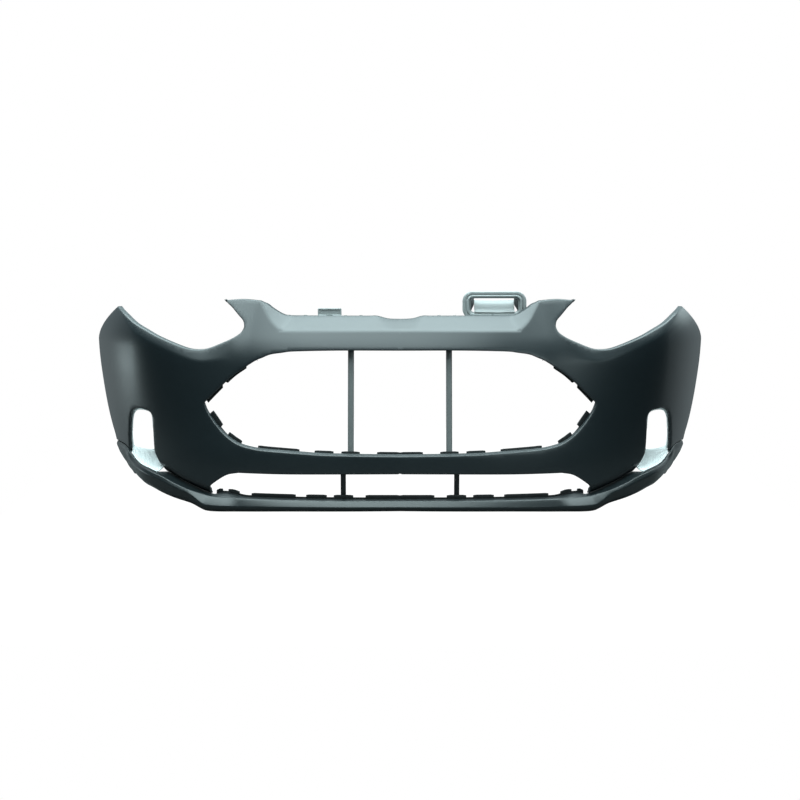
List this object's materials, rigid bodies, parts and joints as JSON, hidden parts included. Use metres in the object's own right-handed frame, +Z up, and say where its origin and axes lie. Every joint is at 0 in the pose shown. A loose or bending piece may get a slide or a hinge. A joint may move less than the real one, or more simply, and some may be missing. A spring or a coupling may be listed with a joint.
{
  "type": "front bumper cover",
  "caption": "Car front bumper cover: wrap-round skin with upper grille and lower openings, fog pockets, lower lip, clip rails, struts, brackets and push fasteners.",
  "frame": {"origin": "bottom centre of the bounding box, on the plane of symmetry", "axes": "+Z up, the nose of the cover points to -Y, X runs across the car"},
  "size_m": [1.7226, 0.5129, 0.5774],
  "materials": {
    "satin_primer": "satin primed polypropylene",
    "lip_primer": "satin primed polypropylene, a little darker",
    "black_plastic": "fine-grained moulded plastic",
    "grey_plastic": "moulded plastic, mid grey",
    "pocket_plastic": "moulded plastic, pale grey",
    "spring_steel": "spring steel, phosphated"
  },
  "bodies": {
    "cover": {"bumper_skin": "satin_primer", "grille_strut_left": "grey_plastic", "grille_strut_right": "grey_plastic", "duct_floor": "grey_plastic", "duct_bezel": "grey_plastic", "locating_tab": "grey_plastic", "lower_lip": "lip_primer", "grille_clip_rail_lower": "black_plastic", "grille_clip_rail_left": "black_plastic", "grille_clip_rail_right": "black_plastic", "lower_clip_rail": "black_plastic", "lower_strut_left": "black_plastic", "lower_strut_right": "black_plastic", "wing_bracket_left": "black_plastic", "wing_bracket_right": "black_plastic", "headlamp_bracket_left": "black_plastic", "headlamp_bracket_right": "black_plastic", "push_rivet_1": "black_plastic", "push_rivet_2": "black_plastic", "push_rivet_3": "black_plastic", "push_rivet_4": "black_plastic", "push_rivet_5": "black_plastic", "push_rivet_6": "black_plastic", "fog_pocket_left": "pocket_plastic", "fog_pocket_right": "pocket_plastic", "flange_nut_1": "spring_steel", "flange_nut_2": "spring_steel", "undertray_nut_1": "spring_steel", "undertray_nut_2": "spring_steel", "undertray_nut_3": "spring_steel", "undertray_nut_4": "spring_steel"},
    "rivet_pin_1": {"push_rivet_pin_1": "black_plastic"},
    "rivet_pin_2": {"push_rivet_pin_2": "black_plastic"},
    "rivet_pin_3": {"push_rivet_pin_3": "black_plastic"},
    "rivet_pin_4": {"push_rivet_pin_4": "black_plastic"},
    "rivet_pin_5": {"push_rivet_pin_5": "black_plastic"},
    "rivet_pin_6": {"push_rivet_pin_6": "black_plastic"}
  },
  "joints": [
    {"name": "rivet_pin_1_slide", "type": "slide", "parent": "cover", "child": "rivet_pin_1", "axis": [0, 0, 1], "range_m": [0, 0.006]},
    {"name": "rivet_pin_2_slide", "type": "slide", "parent": "cover", "child": "rivet_pin_2", "axis": [0, 0, 1], "range_m": [0, 0.006]},
    {"name": "rivet_pin_3_slide", "type": "slide", "parent": "cover", "child": "rivet_pin_3", "axis": [0, 0, 1], "range_m": [0, 0.006]},
    {"name": "rivet_pin_4_slide", "type": "slide", "parent": "cover", "child": "rivet_pin_4", "axis": [0, 0, 1], "range_m": [0, 0.006]},
    {"name": "rivet_pin_5_slide", "type": "slide", "parent": "cover", "child": "rivet_pin_5", "axis": [0, 0, 1], "range_m": [0, 0.006]},
    {"name": "rivet_pin_6_slide", "type": "slide", "parent": "cover", "child": "rivet_pin_6", "axis": [0, 0, 1], "range_m": [0, 0.006]}
  ]
}
